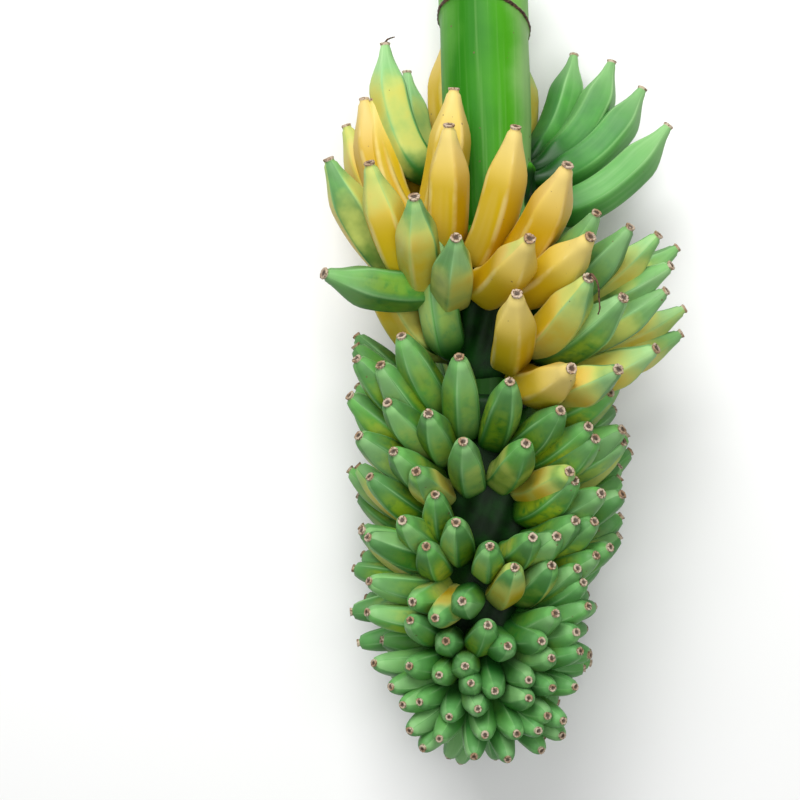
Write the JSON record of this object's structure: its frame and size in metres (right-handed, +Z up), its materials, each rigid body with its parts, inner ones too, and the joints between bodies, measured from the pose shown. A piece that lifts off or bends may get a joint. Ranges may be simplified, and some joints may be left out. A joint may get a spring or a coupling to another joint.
{
  "type": "banana bunch",
  "caption": "Whole bunch of short, angular cooking bananas round a thick cut green stalk, lying on its back: ripening yellow near the cut end, green below.",
  "frame": {"origin": "on the surface that the bunch lies on, under the middle of its outline", "axes": "+Y along the stalk towards its cut end, +Z up to the side of the bunch that the picture shows, +X the picture's right"},
  "size_m": [0.3259, 0.7794, 0.2752],
  "materials": {
    "stalk": "satin green plant skin",
    "green_skin": "satin fruit skin with a pale waxy bloom",
    "ripening_skin": "satin fruit skin, yellow with green necks",
    "mid_green_skin": "satin fruit skin with a pale waxy bloom",
    "deep_green_skin": "satin fruit skin with a pale waxy bloom"
  },
  "bodies": {
    "root": {"stalk": "stalk", "hand_top": "green_skin", "hands_ripe": "ripening_skin", "hands_middle": "mid_green_skin", "hands_lower": "deep_green_skin"}
  },
  "joints": []
}
